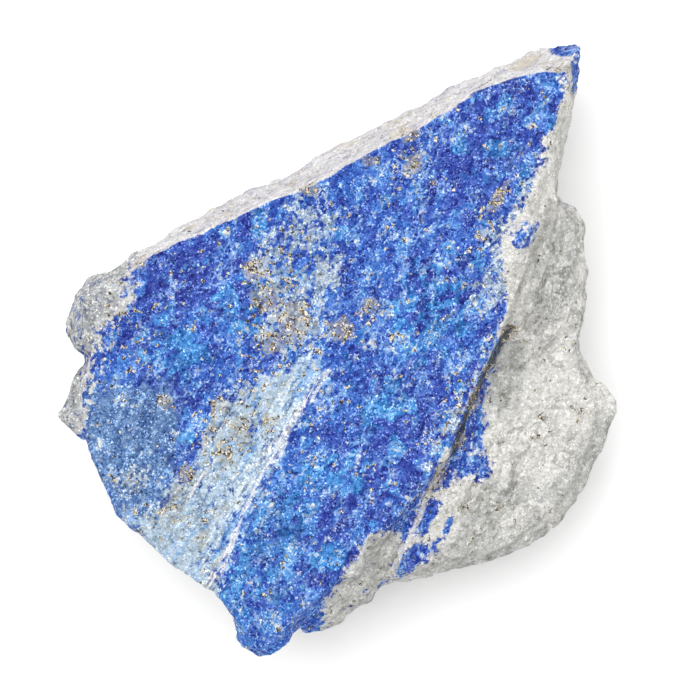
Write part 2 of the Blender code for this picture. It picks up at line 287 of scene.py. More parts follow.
# Grey and white calcite east of the slab, up to the ragged border of the blue and the ledge, and the
# strip of it in the south
CALCITE_BORDER = [
    (28.4, 36.0), (27.3, 32.6), (26.8, 29.4), (26.2, 26.5), (25.0, 25.2), (24.5, 22.6), (23.6, 20.2),
    (22.8, 18.0), (21.6, 16.1), (20.1, 14.3), (19.2, 13.0), (19.8, 10.3), (20.2, 7.0), (20.3, 4.4),
    (19.3, 1.0), (17.8, -1.9), (16.2, -6.2), (13.8, -11.5), (12.4, -13.8), (11.4, -16.8),
    (9.6, -20.4), (7.6, -24.5), (6.1, -27.7), (7.0, -34.0), (40.0, -34.0), (40.0, 40.0),
]
SOUTH_STRIP = [
    (-2.6, -36.0), (-1.2, -31.0), (1.7, -25.4), (5.0, -21.8), (8.2, -22.4), (7.0, -26.0), (5.6, -28.7),
    (3.0, -36.0),
]
# Sugary lobes of calcite at the western edge
LEFT_LOBES = [
    (-23.6, 13.0), (-24.6, 8.0), (-25.4, 4.6), (-27.4, 2.2), (-28.6, -0.4), (-29.6, -4.0), (-30.0, -8.0),
    (-31.4, -12.0), (-38.0, -12.0), (-38.0, 13.0),
]
# Where the pale far side reaches over the ridge onto the face
RIDGE_RIM = [(11.2, 27.6), (13.4, 28.2), (15.2, 29.6), (16.8, 31.2), (15.4, 31.8), (12.5, 29.8)]
# Blue that grew past the border into the calcite: along the ledge, at its foot, in single patches and
# at the tip. A patch is given by its centre, its radii and its turn in degrees, here and below
BLUE_PAST_LEDGE = [
    (20.0, 0.6), (19.1, -1.7), (18.5, -5.0), (18.1, -7.1), (17.6, -9.0), (17.9, -11.0), (18.2, -13.1),
    (18.5, -15.5), (17.3, -16.0), (16.1, -15.1), (15.0, -15.6), (14.3, -14.2), (13.6, -16.3), (13.0, -16.1),
    (13.7, -13.4), (14.0, -11.0), (15.0, -8.4), (16.2, -5.6), (17.4, -2.4), (19.0, 1.2),
]
BLUE_AT_FOOT = [
    (12.5, -23.2), (12.1, -24.6), (10.7, -25.8), (9.1, -27.0), (7.4, -28.2), (6.8, -27.2), (7.7, -25.0),
    (9.1, -23.8), (10.7, -23.4),
]
BLUE_PATCHES = [
    ((22.8, 13.4), (2.0, 1.4), 50.0),
    ((11.0, -20.4), (2.4, 0.9), 60.0),
    ((13.5, -21.4), (1.5, 0.6), 68.0),
    ((12.8, -15.8), (1.8, 0.5), 62.0),
]
BLUE_TIP = [
    ((28.4, 36.8), (2.6, 1.3), 15.0),
    ((29.4, 34.0), (0.9, 3.0), -4.0),
]
# Rusty patches of the pale far side
TAN_PATCHES = [
    ((7.8, 25.8), (1.6, 0.9), 25.0),
    ((22.9, 34.8), (2.2, 0.8), 27.0),
    ((25.8, 34.0), (1.4, 0.8), 10.0),
]
# Darkest ultramarine, on the facets along the ledge, where it is also painted shade, and in broad clouds of
# the face
NAVY_AND_LEDGE_SHADE = [
    ((17.4, -5.4), (2.8, 0.8), 67.0),
    ((16.0, -11.2), (1.8, 1.2), 70.0),
    ((9.6, -17.2), (2.2, 0.7), 66.0),
    ((10.4, -25.2), (2.4, 1.0), 30.0),
]
ULTRAMARINE = [
    ((-17.4, 8.0), (7.4, 4.6), 20.0),
    ((-19.6, -5.4), (3.0, 4.6), 0.0),
    ((7.6, -10.6), (6.6, 10.6), -32.0),
    ((17.0, 24.0), (9.6, 7.6), 35.0),
    ((13.0, 6.6), (6.0, 5.0), 0.0),
    ((-0.6, -21.4), (2.6, 6.6), -25.0),
]
# The pale zone of the slab, the white vein that ends it, the feathered rock beside that vein, and a
# second short vein
PALE_ZONE = [
    (-14.4, -30.6), (-11.4, -21.5), (-6.5, -12.2), (-2.0, -4.4), (-1.8, -1.4), (-5.2, -1.6), (-9.4, -4.0),
    (-14.4, -6.4), (-16.0, -10.0), (-17.0, -14.0), (-20.4, -16.6), (-23.6, -19.4), (-24.6, -25.0),
    (-18.0, -31.0),
]
WHITE_VEIN = [
    (-15.4, -28.6), (-13.3, -25.4), (-11.5, -20.6), (-8.9, -15.2), (-5.5, -9.2), (-2.6, -5.0), (-0.9, -3.0),
]
FEATHERED_EDGE = [(-15.0, -26.4), (-12.7, -20.4), (-10.1, -14.8), (-6.7, -8.8), (-3.8, -4.4)]
SHORT_VEIN = [(-18.2, -18.6), (-16.6, -16.0), (-14.5, -13.2)]
# Grey veils of calcite in the blue, in patches and along the edges of the slab
VEILS = [
    ((-3.4, 14.4), (3.0, 3.4), -30.0),
    ((-8.0, 9.0), (3.4, 5.0), 10.0),
    ((-1.6, 8.6), (2.2, 4.4), -30.0),
    ((-5.0, 3.4), (3.6, 3.4), 0.0),
    ((-18.6, -21.6), (1.8, 2.6), 30.0),
    ((-24.6, -15.6), (2.2, 1.5), 20.0),
    ((9.6, 21.4), (1.2, 2.6), -20.0),
    ((18.0, 6.6), (1.6, 2.6), -20.0),
]
EDGE_VEIL = [(17.0, -2.4), (15.1, -5.6), (13.9, -8.6), (12.0, -12.0), (10.6, -14.4)]
RIM_VEIL = [(23.2, 19.6), (22.0, 17.2), (20.2, 14.8), (18.8, 13.0), (19.2, 10.3), (19.8, 7.0)]
# Blue without veils
CLEAR_BLUE = [
    ((-17.4, 7.0), (8.4, 6.4), 20.0),
    ((18.0, 23.0), (8.0, 6.0), 35.0),
    ((6.0, -10.0), (5.0, 6.0), -32.0),
]
# Steel blue rock in the west, and a little of it in the south
STEEL_WEST = [
    (-31.0, -4.0), (-24.0, -4.4), (-19.0, -4.0), (-18.2, -10.0), (-19.6, -17.0), (-21.4, -24.0),
    (-27.0, -20.0), (-31.0, -12.0),
]
STEEL_SOUTH = [((-7.6, -24.6), (5.4, 8.6), -15.0)]
# Broad azure fields, and single bright patches
AZURE_FIELDS = [
    ((-8.6, -24.6), (4.6, 9.6), -25.0),
    ((-1.6, -14.8), (5.6, 2.4), 10.0),
    ((12.0, 5.0), (4.2, 7.0), -20.0),
    ((-19.0, -0.6), (4.4, 2.6), -20.0),
    ((-10.0, 4.0), (3.4, 3.6), 0.0),
]
AZURE_PATCHES = [
    ((18.9, 23.6), (1.4, 1.1), 0.0),
    ((14.5, 23.8), (1.2, 0.9), 0.0),
    ((20.0, 29.4), (0.7, 1.3), 0.0),
    ((26.0, 26.8), (0.8, 1.2), 0.0),
    ((22.1, 19.8), (0.5, 1.6), -20.0),
    ((6.2, -4.2), (1.5, 0.8), 0.0),
    ((2.2, -16.2), (2.0, 1.2), 20.0),
    ((0.7, 13.7), (0.9, 0.8), 0.0),
    ((7.1, -11.8), (0.8, 1.2), 0.0),
    ((-9.2, 15.0), (0.8, 1.6), 0.0),
    ((-13.1, 7.0), (1.0, 0.8), 0.0),
    ((5.6, -7.4), (3.0, 1.5), 10.0),
    ((-1.2, -25.4), (2.6, 1.6), 30.0),
    ((-18.0, -10.6), (1.2, 0.8), 0.0),
    ((-17.4, -0.4), (3.4, 1.2), -20.0),
]
# Where pyrite and rust are thick in the blue
RUST_PATCHES = [
    ((-8.4, 5.8), (1.8, 1.6), 0.0),
    ((-7.4, 0.6), (1.7, 1.4), 0.0),
    ((-5.0, 3.2), (1.8, 2.6), 0.0),
    ((-9.6, 9.4), (1.6, 1.2), 0.0),
    ((-3.2, 19.0), (1.2, 1.0), 0.0),
    ((-13.8, -6.8), (1.2, 1.0), 0.0),
    ((-11.6, -9.8), (1.4, 1.6), 0.0),
    ((-13.3, -12.8), (1.0, 1.2), 0.0),
    ((-17.8, -15.2), (0.9, 1.3), 0.0),
    ((-8.0, -8.8), (1.0, 1.0), 0.0),
    ((9.2, 21.8), (1.0, 1.4), -20.0),
    ((8.9, 25.2), (1.2, 0.6), 25.0),
    ((4.1, 22.2), (1.0, 0.6), 0.0),
    ((19.2, 17.8), (0.7, 2.4), -28.0),
    ((17.3, 13.3), (0.8, 0.7), 0.0),
    ((4.4, 5.2), (1.2, 0.8), 0.0),
    ((0.8, 2.2), (1.6, 1.4), 0.0),
    ((-20.4, -6.4), (0.9, 0.9), 0.0),
    ((-23.6, 10.2), (1.2, 0.9), 30.0),
    ((20.4, 1.9), (0.6, 0.6), 0.0),
    ((27.8, 33.6), (0.9, 0.6), 0.0),
    ((22.4, 34.6), (1.4, 0.5), 25.0),
    ((26.0, 33.4), (1.2, 0.5), 0.0),
]
# Broad fields with a little pyrite
RUST_FIELDS = [
    ((-7.4, 4.0), (3.8, 9.0), -12.0),
    ((-12.6, -9.6), (3.2, 5.6), -25.0),
    ((8.8, 22.6), (1.8, 4.0), -15.0),
    ((18.4, 15.8), (1.6, 4.6), -28.0),
    ((14.4, -8.4), (1.8, 5.0), -25.0),
    ((2.0, 3.0), (4.0, 2.4), 10.0),
    ((-24.4, 2.0), (3.0, 5.0), 0.0),
    ((-19.6, -20.6), (2.4, 3.4), 40.0),
    ((-25.0, -16.0), (2.2, 1.6), 20.0),
]
# Small rusty flecks in the calcite, and the longer ones along the ledge, which are rust and painted shade
# there
CALCITE_FLECKS_AND_LEDGE_SHADE = [
    ((25.1, -8.3), (0.5, 0.5), 0.0), ((24.2, -10.7), (0.5, 0.4), 0.0), ((26.0, -11.9), (0.4, 0.4), 0.0),
    ((29.6, -7.6), (0.6, 0.5), 0.0), ((22.6, 0.8), (0.5, 0.5), 0.0), ((28.6, 2.4), (0.4, 0.5), 0.0),
    ((28.6, 0.4), (0.4, 0.4), 0.0), ((19.8, -19.0), (0.7, 0.7), 0.0), ((15.6, -19.4), (0.9, 0.7), 0.0),
    ((24.6, 10.2), (0.6, 0.5), 0.0), ((21.0, 1.7), (1.1, 0.9), 0.0), ((12.3, -15.8), (0.8, 2.4), -25.0),
    ((18.4, -2.6), (0.6, 1.8), -25.0), ((16.6, -6.6), (0.8, 2.6), -25.0), ((15.0, -11.4), (0.9, 1.4), -25.0),
]
# Pale crests of white calcite, painted lighter as highlights, each a line with its half width and softness:
# below the ledge, on it, and on the white rim
CALCITE_CREST_HIGHLIGHTS = [
    ([(13.3, -13.7), (12.0, -16.4), (10.6, -19.2), (9.0, -22.4), (7.7, -25.0), (6.3, -27.4)], 0.35, 0.4),
    ([(19.7, 5.8), (19.3, 2.2), (18.5, -0.8), (16.8, -4.0), (15.3, -7.2), (13.8, -10.6)], 0.1, 0.3),
    ([(25.2, 19.6), (24.4, 16.4), (23.6, 13.2), (22.4, 10.2), (21.0, 6.6), (20.3, 3.8)], 0.15, 0.4),
]
# Painted shade in the corner of the ledge and at its foot, drawn as dark lines and given in the same way
JOINT_SHADE_LINES = [
    (
        [(20.8, 2.0), (20.0, 0.7), (19.0, -1.1), (17.7, -3.6), (16.1, -7.2), (14.9, -10.2), (14.2, -12.7)],
        0.5, 0.7,
    ),
    ([(8.2, -22.6), (6.9, -25.0), (5.8, -26.8)], 0.1, 0.7),
]
# Painted shade: a grey line along the crease between the white rim of the slab and its flank
CREASE_SHADE_LINE = [(25.6, 17.4), (25.2, 14.6), (24.3, 12.2), (22.9, 9.1), (21.6, 5.8), (20.8, 3.4)]
# Painted shade: the shoulder and the edges of the calcite are painted greyer than its middle
SHADED_SHOULDER = [((26.2, 8.4), (3.0, 9.0), -14.0)]
SHADED_EDGES = [
    ((18.0, -24.6), (9.0, 3.0), 20.0),
    ((31.0, -14.0), (2.2, 6.4), -20.0),
    ((20.4, -3.4), (2.2, 5.6), -16.0),
    ((19.0, -19.0), (4.6, 2.4), 20.0),
    ((26.4, -17.6), (3.4, 1.6), 40.0),
]
# Calcite is pure this far inside its border, unless blue that grew into it is this near
PURE_INSET = 2.4
NEAR_BLUE = 1.6


def levels(at):
    """How far every vertex belongs to the face, the ledge, the broken sides and the rock below the face."""
    up = at.facing[:, 2]
    return SimpleNamespace(
        face=1.0 - smooth_step(1.5, 4.0, at.depth),
        ledge=1.0 - smooth_step(9.0, 13.0, at.depth),
        side=smooth_step(2.0, 5.0, at.depth) * (1.0 - smooth_step(0.5, 0.8, up)),
        below=smooth_step(1.5, 11.0, at.depth) * (1.0 - smooth_step(0.6, 0.9, up)),
    )


def eastern_calcite(at, on, tip):
    """Calcite past the border of the blue, purer further in, less the blue that grew into it."""
    grown = (BLUE_PAST_LEDGE, BLUE_AT_FOOT)
    beyond = overlay([*(area(at, corners, 1.1) for corners in grown), patches(at, BLUE_PATCHES, 0.7), tip])
    beyond = np.minimum(beyond * 1.2, 1.0) * on.ledge
    near_blue = overlay(area(at, corners, 1.0, -NEAR_BLUE) for corners in grown)
    pure = area(at, CALCITE_BORDER, 1.0, PURE_INSET) * (1.0 - near_blue)
    return (area(at, CALCITE_BORDER, 1.0) + 0.7 * pure) * (1.0 - 0.88 * beyond)


def far_wall(at, tip):
    """The pale far side with its rim, less the lobes and the blue tip."""
    towards = at.facing[:, 0] * FAR_SIDE[0] + at.facing[:, 1] * FAR_SIDE[1]
    wall = smooth_step(0.25, 0.6, towards) * smooth_step(-0.1, 0.5, at.depth)
    wall = overlay([wall, area(at, RIDGE_RIM, 0.7)])
    return wall * (1.0 - area(at, LEFT_LOBES, 3.0)) * (1.0 - 0.9 * tip)


def white_zones(at, on):
    """Shares of calcite and of what shows in it, by name, with the painted highlights and painted shade on
    it.
    """
    tip = np.minimum(patches(at, BLUE_TIP, 0.6) * 1.6, 1.0)
    below = on.below * (1.0 - tip)
    strip = area(at, SOUTH_STRIP, 1.0) * on.ledge
    lobes = area(at, LEFT_LOBES, 2.4)
    shaded_shoulder = patches(at, SHADED_SHOULDER, 0.4) * 0.8
    shaded_edges = patches(at, SHADED_EDGES, 0.6) * 0.9
    return {
        "calcite": overlay([eastern_calcite(at, on, tip), strip, lobes * 0.95, below * 0.9]),
        "lobes": lobes,
        "crest_calcite_and_highlight": overlay(streak(at, *line) for line in CALCITE_CREST_HIGHLIGHTS),
        "joint_shade": overlay(streak(at, *line) for line in JOINT_SHADE_LINES) * on.ledge,
        "crease_shade": streak(at, CREASE_SHADE_LINE, 0.5, 0.9),
        # Painted shade: the shoulder, the edges, the south strip and the rock below the face are painted
        # greyer
        "shade": overlay([shaded_shoulder, shaded_edges, strip, below * 0.5]),
        "far_wall": far_wall(at, tip),
        "tan": patches(at, TAN_PATCHES, 0.7),
        "side": on.side,
        "blue_side": on.side * (1.0 - area(at, CALCITE_BORDER, 1.0)),
    }


def blue_zones(at, on):
    """Shares of the kinds of blue and pale rock, and of rust, by name. Along the ledge the darkest blue and
    the rust are partly painted shade.
    """
    veils = overlay([
        patches(at, VEILS, 0.7) * 1.3,
        streak(at, EDGE_VEIL, 0.7, 0.7),
        streak(at, RIM_VEIL, 1.0, 1.2) * 1.4,
    ])
    return {
        "pale": area(at, PALE_ZONE, 2.0),
        "veil": veils * on.face - patches(at, CLEAR_BLUE, 0.6),
        "vein": overlay([streak(at, WHITE_VEIN, 0.4, 0.6), streak(at, SHORT_VEIN, 0.2, 0.5) * 0.8]),
        "feather": streak(at, FEATHERED_EDGE, 1.3, 1.3),
        "steel": overlay([area(at, STEEL_WEST, 3.0), patches(at, STEEL_SOUTH, 0.7) * 0.4]) * on.face,
        "deep_blue_and_shade": overlay([patches(at, NAVY_AND_LEDGE_SHADE, 0.4), patches(at, ULTRAMARINE, 0.5) * 0.6]),
        "azure": overlay([patches(at, AZURE_PATCHES, 0.6) * 0.7, patches(at, AZURE_FIELDS, 0.7) * 0.4]),
        "rust": overlay([
            patches(at, RUST_PATCHES, 0.5) * 1.15 * on.face,
            patches(at, RUST_FIELDS, 0.6) * on.face * 0.35,
            # Along the ledge these flecks are rust and painted shade
            patches(at, CALCITE_FLECKS_AND_LEDGE_SHADE, 0.6) * on.ledge,
        ]),
    }


def paint_zones(skin):
    """Stores each share as an attribute that the shader reads."""
    at = survey(skin)
    on = levels(at)
    for name, share in {**blue_zones(at, on), **white_zones(at, on)}.items():
        stored = skin.data.attributes.new(name, "FLOAT", "POINT")
        stored.data.foreach_set("value", share.astype(np.float32))


# Small steps of the shader


def node(tree, kind, inputs=None, **settings):
    """Adds a shader node. An input given as a socket is linked, anything else is set on it."""
    made = tree.nodes.new(kind)
    for key, value in settings.items():
        setattr(made, key, value)
    for key, value in (inputs or {}).items():
        if isinstance(value, bpy.types.NodeSocket):
            tree.links.new(value, made.inputs[key])
        else:
            made.inputs[key].default_value = value
    return made


def maths(tree, operation, first, second):
    return node(tree, "ShaderNodeMath", {0: first, 1: second}, operation=operation).outputs[0]


def vector_maths(tree, operation, first, second, output="Vector"):
    return node(tree, "ShaderNodeVectorMath", {0: first, 1: second}, operation=operation).outputs[output]


def times(tree, value, amount):
    return maths(tree, "MULTIPLY", value, amount)


def total(tree, *values):
    result = values[0]
    for value in values[1:]:
        result = maths(tree, "ADD", result, value)
    return result


def lean(tree, value, amount):
    """A value around 0.5 turned into plus or minus up to half the amount."""
    return times(tree, maths(tree, "SUBTRACT", value, 0.5), amount)


def varied(tree, rock, *values, **amounts):
    """The values added up, with each named noise of the rock leaning them by its amount."""
    leans = [lean(tree, getattr(rock, name), amount) for name, amount in amounts.items()]
    return total(tree, *values, *leans)


def step(tree, value, low, high):
    """0 below low, 1 above high, smooth between."""
    made = node(tree, "ShaderNodeMapRange", {"Value": value, "From Min": low, "From Max": high})
    made.interpolation_type = "SMOOTHSTEP"
    return made.outputs["Result"]


def blend(tree, factor, first, second):
    """The first colour where the factor is 0, the second where it is 1."""
    made = node(tree, "ShaderNodeMix", data_type="RGBA")
    for key, value in (("Factor", factor), ("A", first), ("B", second)):
        socket = next(s for s in made.inputs if s.name == key and s.enabled)
        if isinstance(value, bpy.types.NodeSocket):
            tree.links.new(value, socket)
        else:
            socket.default_value = value
    return next(s for s in made.outputs if s.enabled)


def laid_over(tree, colour, other, share, strength):
    """The colour with another one over it, as opaque as the share times the strength."""
    return blend(tree, times(tree, share, strength), colour, other)


def ramp(tree, value, colours, crisp=False):
    """A colour ramp through evenly spaced sRGB colours, each given as it is seen."""
    made = node(tree, "ShaderNodeValToRGB", {"Fac": value})
    made.color_ramp.interpolation = "CONSTANT" if crisp else "LINEAR"
    elements = made.color_ramp.elements
    while len(elements) < len(colours):
        elements.new(0.5)
    last = len(colours) if crisp else len(colours) - 1
    for rank in range(len(colours)):
        elements[rank].position = rank / last
    for element, colour in zip(elements, colours):
        element.color = seen(colour)
    return made.outputs["Color"]


def noise(tree, place, size, detail=3.0, roughness=0.6, output="Fac"):
    """Soft noise with lumps of this size in millimetres."""
    inputs = {"Vector": place, "Scale": 1.0 / (size * MM), "Detail": detail, "Roughness": roughness}
    return node(tree, "ShaderNodeTexNoise", inputs).outputs[output]


def cells(tree, place, size, feature="F1"):
    """Crystal grains of this size in millimetres."""
    return node(tree, "ShaderNodeTexVoronoi", {"Vector": place, "Scale": 1.0 / (size * MM)}, feature=feature)


def chances(tree, grains):
    """Three random numbers of each grain."""
    parts = node(tree, "ShaderNodeSeparateColor", {"Color": grains.outputs["Color"]})
    return parts.outputs["Red"], parts.outputs["Green"], parts.outputs["Blue"]


def edges(tree, place, size, width):
    """1 on the edges between crystals, 0 a width inside them, as a part of their size."""
    distance = cells(tree, place, size, "DISTANCE_TO_EDGE").outputs["Distance"]
    return maths(tree, "SUBTRACT", 1.0, step(tree, distance, 0.02, width))


def centred(tree, vector):
    """A vector of random numbers from 0 to 1, moved to lie around 0."""
    return vector_maths(tree, "SUBTRACT", vector, (0.5, 0.5, 0.5))


def shaken(tree, place, size, reach):
    """The place moved to and fro by noise of a size, up to about half the reach, both in millimetres."""
    shake = centred(tree, noise(tree, place, size, 2.0, 0.5, output="Color"))
    moved = vector_maths(tree, "MULTIPLY", shake, (reach * MM, reach * MM, reach * MM))
    return vector_maths(tree, "ADD", place, moved)


def streaked(tree, place, angle, stretch):
    """The place drawn out so that noise on it makes streaks at this angle from X."""
    inputs = {"Vector": place, "Angle": math.radians(-angle)}
    turned = node(tree, "ShaderNodeVectorRotate", inputs, rotation_type="Z_AXIS").outputs[0]
    return vector_maths(tree, "MULTIPLY", turned, (1.0 / stretch, 1.0, 1.0))


def tilted(tree, place, grains, steepness):
    """Height in millimetres of grains that each lean their own way."""
    inside = vector_maths(tree, "SUBTRACT", place, grains.outputs["Position"])
    way = centred(tree, grains.outputs["Color"])
    return times(tree, vector_maths(tree, "DOT_PRODUCT", inside, way, output="Value"), steepness / MM)


def attribute(tree, name):
    return node(tree, "ShaderNodeAttribute", attribute_name=name).outputs["Fac"]


def frayed(tree, rock, name, fray, low, high):
    """The share of a zone whose border is frayed by the mottling."""
    return step(tree, varied(tree, rock, attribute(tree, name), mottle=fray), low, high)


def painted_light_and_shade(tree, colour, steps):
    """The colour made lighter or darker by a step of sRGB, the same in all channels: painted highlights and
    shade.
    """
    shown = node(tree, "ShaderNodeGamma", {"Color": colour, "Gamma": 1.0 / GAMMA}).outputs[0]
    moved = vector_maths(tree, "ADD", shown, steps)
    lit = vector_maths(tree, "MAXIMUM", moved, DARKEST_PIT_SHADE)
    return node(tree, "ShaderNodeGamma", {"Color": lit, "Gamma": GAMMA}).outputs[0]


# Colours of the rock, each from its darkest to its lightest crystals
LAZURITE = ["#203c98", "#2a4eac", "#3561bd", "#4274cb", "#5388da", "#6fa1e9", "#a4caf8"]
ULTRAMARINE_BLUE = ["#1c2a86", "#263995", "#3149a8", "#3e5bba", "#5071cb", "#6e8ede", "#a2bbf1"]
AZURE = ["#215596", "#2966ae", "#3479c3", "#428cd5", "#58a1e5", "#7cbcf3", "#b2dcfb"]
STEEL = ["#3e5d92", "#4a6a9f", "#5879ab", "#6889b7", "#7b9bc4", "#94b1d4", "#bacfe8"]
PALE = ["#82949f", "#93a7b7", "#a4b9c9", "#b3c7d7", "#c2d3e1", "#d2e0eb", "#e8f0f6"]
VEIL = ["#5c6c84", "#73859f", "#8a9bb2", "#a0afc1", "#b7c4d1", "#cfd9e2", "#e8edf2"]
CALCITE = ["#b4b2ab", "#c6c4be", "#d2d0ca", "#dbd9d4", "#e3e2dd", "#ebeae6", "#f5f4f1"]
# Grey calcite, also the colour of the painted shade on calcite
GREY_CALCITE_AND_SHADE = ["#83837c", "#989892", "#ababa5", "#bababa", "#c8c8c3", "#d6d6d1", "#e6e6e2"]
LOBE = ["#76787c", "#8d9094", "#a5a8ab", "#b8babc", "#c8cacb", "#d8dadb", "#ededed"]
FAR_ROCK = ["#a5a2b6", "#c2c0cd", "#d3d1d6", "#dcdadb", "#e3e1e1", "#e9e8e8", "#f3f2f2"]
# Bands of the pale zone, one of clear blue and one of rusty grey
SKY = ["#4c7fc0", "#5f93d0", "#74a8e0", "#8cbcec", "#a3cdf3", "#bcddf8", "#dcedfb"]
TAN = ["#6f6c62", "#88867c", "#9d9c94", "#acaca6", "#bcbdb8", "#cfd0cc", "#e6e7e4"]
# Pyrite and its rust: single grains are black, brown or golden, and the nearly white ones are painted glints
PYRITE_AND_GLINTS = ["#1f1e20", "#453d36", "#8a7b60", "#cbb384", "#f0e7d0", "#fbf9f3"]
# Single colours of lines and patches
VEIN_WHITE = "#eeebef"
# A painted highlight on the pale crests
CREST_HIGHLIGHT_WHITE = "#dfdcd7"
# Painted shade beside the white rim
CREASE_SHADE_GREY = "#7b7b74"
# Painted shade in the corner of the ledge and at its foot
JOINT_SHADE_DARK = "#2d302f"
DOMAIN_LINES = "#98c2f6"
# A painted highlight on the edges of single grains
GRAIN_EDGE_HIGHLIGHT = "#7fb2f2"
RUSTY_TAN = "#cbbda5"
LILAC_BLUE = "#8c99cf"


def grains_and_noises(tree):
    """The grains and noises that every kind of rock draws on, by name."""
    place = node(tree, "ShaderNodeTexCoord").outputs["Object"]
    # The place itself is shaken before the crystals are drawn, which makes their edges ragged
    ragged = shaken(tree, place, size=0.5, reach=0.4)
    swirled = streaked(tree, shaken(tree, ragged, size=2.4, reach=1.6), VEIN_ANGLE, 1.6)
    rock = SimpleNamespace(ragged=ragged, swirled=swirled)
    rock.shards = cells(tree, ragged, SHARD)
    rock.domains = cells(tree, swirled, DOMAIN)
    rock.grains = cells(tree, ragged, GRAIN)
    rock.shard_a, rock.shard_b, _ = chances(tree, rock.shards)
    rock.domain_a, rock.domain_b, rock.domain_c = chances(tree, rock.domains)
    rock.grain_a, rock.grain_b, rock.grain_c = chances(tree, rock.grains)
    rock.sugar_a, rock.sugar_b, rock.sugar_c = chances(tree, cells(tree, place, SUGAR))
    rock.clouds = noise(tree, place, 6.0, 2.0, 0.5)
    rock.billow = noise(tree, swirled, 2.2)
    rock.mottle = noise(tree, ragged, 0.9, roughness=0.65)
    rock.other_mottle = noise(tree, swirled, 1.3, roughness=0.65)
    rock.along_vein = noise(tree, streaked(tree, ragged, VEIN_ANGLE, 6.0), 0.9)
    rock.bands = noise(tree, streaked(tree, ragged, VEIN_ANGLE, 7.0), 1.7)
    rock.feathers = noise(tree, streaked(tree, place, VEIN_ANGLE, 12.0), 0.4)
    rock.along_ridge = noise(tree, streaked(tree, ragged, RIDGE_ANGLE, 9.0), 0.5)
    rock.layering = noise(tree, vector_maths(tree, "MULTIPLY", swirled, (0.2, 0.2, 1.0)), 1.6)
    return rock


def mix_noises(tree, rock):
    """Adds mixtures of the noises: light and dark, frayed borders, streaks and layers."""
    rock.uneven = varied(tree, rock, mottle=0.7, grain_a=0.35, domain_a=0.35)
    rock.fray = varied(tree, rock, mottle=1.8, billow=1.6, grain_b=0.35)
    rock.streaks = lean(tree, rock.along_vein, 2.4)
    rock.tone = varied(tree, rock, 0.34, rock.uneven, billow=0.6, clouds=0.4)
    rock.bright = varied(tree, rock, 0.44, rock.uneven, other_mottle=0.5)
    rock.brighter = varied(tree, rock, 0.55, rock.uneven, shard_b=0.25, other_mottle=0.3)
    layers = lean(tree, rock.layering, 3.0)
    rock.blue_layers = times(tree, layers, times(tree, attribute(tree, "blue_side"), 0.7))
    rock.side_layers = times(tree, layers, times(tree, attribute(tree, "side"), 0.4))


def share_out(tree, rock):
    """Adds the shares of pale rock, calcite, the far side, rust and pyrite, with ragged borders."""
    pale = total(tree, attribute(tree, "pale"), times(tree, rock.streaks, 0.7), rock.fray)
    rock.pale = step(tree, pale, 0.3, 0.85)
    calcite = total(tree, attribute(tree, "calcite"), rock.fray, rock.blue_layers)
    rock.calcite = step(tree, calcite, 0.3, 0.7)
    rock.far_wall = frayed(tree, rock, "far_wall", 0.7, 0.2, 0.5)
    rock.white = maths(tree, "MAXIMUM", rock.calcite, rock.far_wall)
    rock.rust = varied(tree, rock, attribute(tree, "rust"), mottle=1.0, billow=0.6)
    # Pyrite takes whole grains, most of them where there is rust
    mottled = times(tree, step(tree, rock.other_mottle, 0.5, 0.75), 0.09)
    chance = total(tree, times(tree, rock.rust, 0.34), rock.grain_c, mottled, times(tree, rock.white, -0.02))
    rock.pyrite = step(tree, chance, 0.975, 1.0)


def lazurite(tree, rock):
    """Lazurite passes from ultramarine to azure over broad fields, with patches a millimetre wide."""
    colour = ramp(tree, rock.tone, LAZURITE)
    # The darkest blue, partly painted shade on the facets along the ledge
    deep_blue_and_shade = varied(tree, rock, attribute(tree, "deep_blue_and_shade"), domain_b=0.8, billow=-1.4)
    colour = blend(tree, step(tree, deep_blue_and_shade, 0.05, 0.5), colour, ramp(tree, rock.tone, ULTRAMARINE_BLUE))
    azure = varied(tree, rock, attribute(tree, "azure"), domain_c=0.7, mottle=1.0, billow=0.8)
    lighter = total(tree, rock.tone, 0.05)
    return blend(tree, step(tree, azure, 0.15, 0.5), colour, ramp(tree, lighter, AZURE))


def steel_and_veils(tree, rock, colour):
    """Steel blue rock streaked along the vein, and grey veils where calcite is mixed into the blue."""
    steel = varied(tree, rock, attribute(tree, "steel"), times(tree, rock.streaks, 0.6), mottle=1.5)
    colour = blend(tree, step(tree, steel, 0.2, 0.9), colour, ramp(tree, rock.tone, STEEL))
    veil = times(tree, attribute(tree, "veil"), 0.5)
    veil = varied(tree, rock, veil, other_mottle=2.2, grain_b=0.6)
    return blend(tree, step(tree, veil, 0.3, 0.65), colour, ramp(tree, rock.bright, VEIL))


def pale_zone(tree, rock, colour):
    """Pale rock feathered beside the vein, with bands of clear blue and of rusty grey along it."""
    feather = times(tree, attribute(tree, "feather"), varied(tree, rock, 0.15, feathers=3.0))
    pale = ramp(tree, total(tree, rock.bright, times(tree, rock.streaks, 0.5), feather), PALE)
    pale = laid_over(tree, pale, ramp(tree, rock.tone, SKY), step(tree, rock.bands, 0.44, 0.34), 0.75)
    pale = laid_over(tree, pale, ramp(tree, rock.bright, TAN), step(tree, rock.bands, 0.54, 0.64), 0.7)
    return blend(tree, rock.pale, colour, pale)


def white_vein(tree, rock, colour):
    """The white veins, feathered along their length."""
    near = attribute(tree, "vein")
    line = step(tree, varied(tree, rock, near, feathers=3.6, mottle=1.0), 0.4, 1.0)
    line = times(tree, line, step(tree, near, 0.0, 0.15))
    return laid_over(tree, colour, seen(VEIN_WHITE), line, 0.85)


